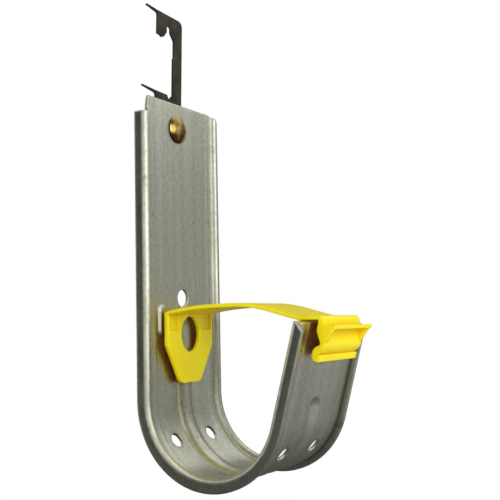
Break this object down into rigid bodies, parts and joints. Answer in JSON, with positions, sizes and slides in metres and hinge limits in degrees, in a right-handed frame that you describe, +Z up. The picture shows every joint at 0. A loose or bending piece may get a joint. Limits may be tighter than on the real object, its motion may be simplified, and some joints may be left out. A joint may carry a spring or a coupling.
{
  "type": "cable j-hook",
  "caption": "J-shaped cable support of formed galvanised strip, with a hinged plastic retainer across its mouth and a riveted spring-steel hanger clip above the plate.",
  "frame": {"origin": "centre of the screw hole on the front face of the back plate", "axes": "+X forward from the plate to the lip, +Y across the strip to the right as seen from the front's left, +Z up along the plate"},
  "size_m": [0.0782, 0.0508, 0.1861],
  "materials": {
    "galvanised_steel": "galvanised, drawn streaks",
    "black_spring_steel": "dark phosphate coat, satin",
    "rivet_brass": "yellow passivated, glossy",
    "yellow_plastic": "moulded, semi-gloss"
  },
  "bodies": {
    "hook": {"hook_body": "galvanised_steel", "hanger_clip": "black_spring_steel", "rivet": "rivet_brass"},
    "retainer": {"retainer": "yellow_plastic"}
  },
  "joints": [
    {"name": "retainer_hinge", "type": "hinge", "parent": "hook", "child": "retainer", "pos_m": [-0.0006, 0, -0.0065], "axis": [0, -1, 0], "range_deg": [0, 42]}
  ]
}
